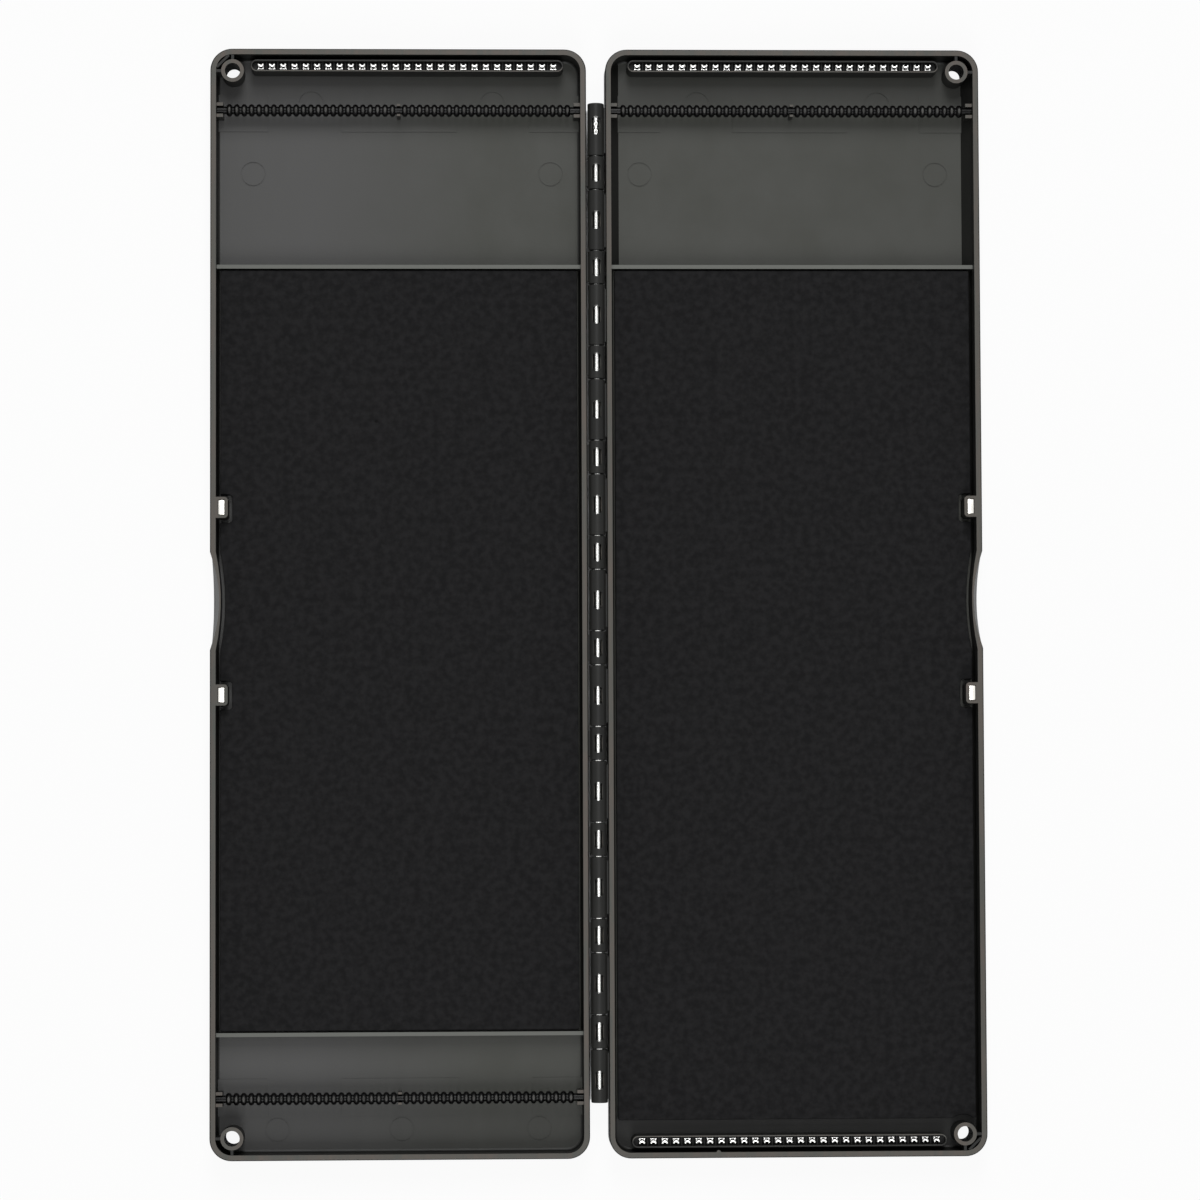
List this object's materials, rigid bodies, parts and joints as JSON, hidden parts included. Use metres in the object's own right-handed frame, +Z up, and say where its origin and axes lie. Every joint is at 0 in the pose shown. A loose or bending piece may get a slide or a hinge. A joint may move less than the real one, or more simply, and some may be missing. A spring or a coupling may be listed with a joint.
{
  "type": "rig box",
  "caption": "Slim two-part storage box for ready-tied fishing rigs, open flat, with foam beds, hook bars, pin racks and a full-length pinned hinge.",
  "frame": {"origin": "centre of the footprint on the plane that both backs lie on", "axes": "+X across both trays to the right, +Y along the hinge to the pin rack and divider end, +Z up out of the open trays"},
  "size_m": [0.2576, 0.37, 0.0153],
  "materials": {
    "case_plastic": "fine matt moulded surface",
    "eva_foam": "closed-cell foam with a fine grain",
    "adhesive_film": "thin double-sided film",
    "bar_plastic": "smooth black moulding",
    "strip_rubber": "matt black rubber",
    "pin_steel": "bright drawn wire",
    "hinge_steel": "bright ground rod",
    "magnet_nickel": "nickel plated"
  },
  "bodies": {
    "right_half": {"right_tray": "case_plastic", "right_foam_panel": "eva_foam", "right_foam_adhesive": "adhesive_film", "right_upper_hook_bar": "bar_plastic", "right_upper_pin_strip": "strip_rubber", "right_lower_pin_strip": "strip_rubber", "right_upper_rig_pins": "pin_steel", "right_lower_rig_pins": "pin_steel", "right_upper_magnet": "magnet_nickel", "right_lower_magnet": "magnet_nickel", "hinge_pin": "hinge_steel"},
    "left_half": {"left_tray": "case_plastic", "left_foam_panel": "eva_foam", "left_foam_adhesive": "adhesive_film", "left_upper_hook_bar": "bar_plastic", "left_lower_hook_bar": "bar_plastic", "left_upper_pin_strip": "strip_rubber", "left_upper_rig_pins": "pin_steel", "left_upper_magnet": "magnet_nickel", "left_lower_magnet": "magnet_nickel"}
  },
  "joints": [
    {"name": "lid_hinge", "type": "hinge", "parent": "right_half", "child": "left_half", "pos_m": [0, 0, 0.01255], "axis": [0, 1, 0], "range_deg": [0, 180]}
  ]
}
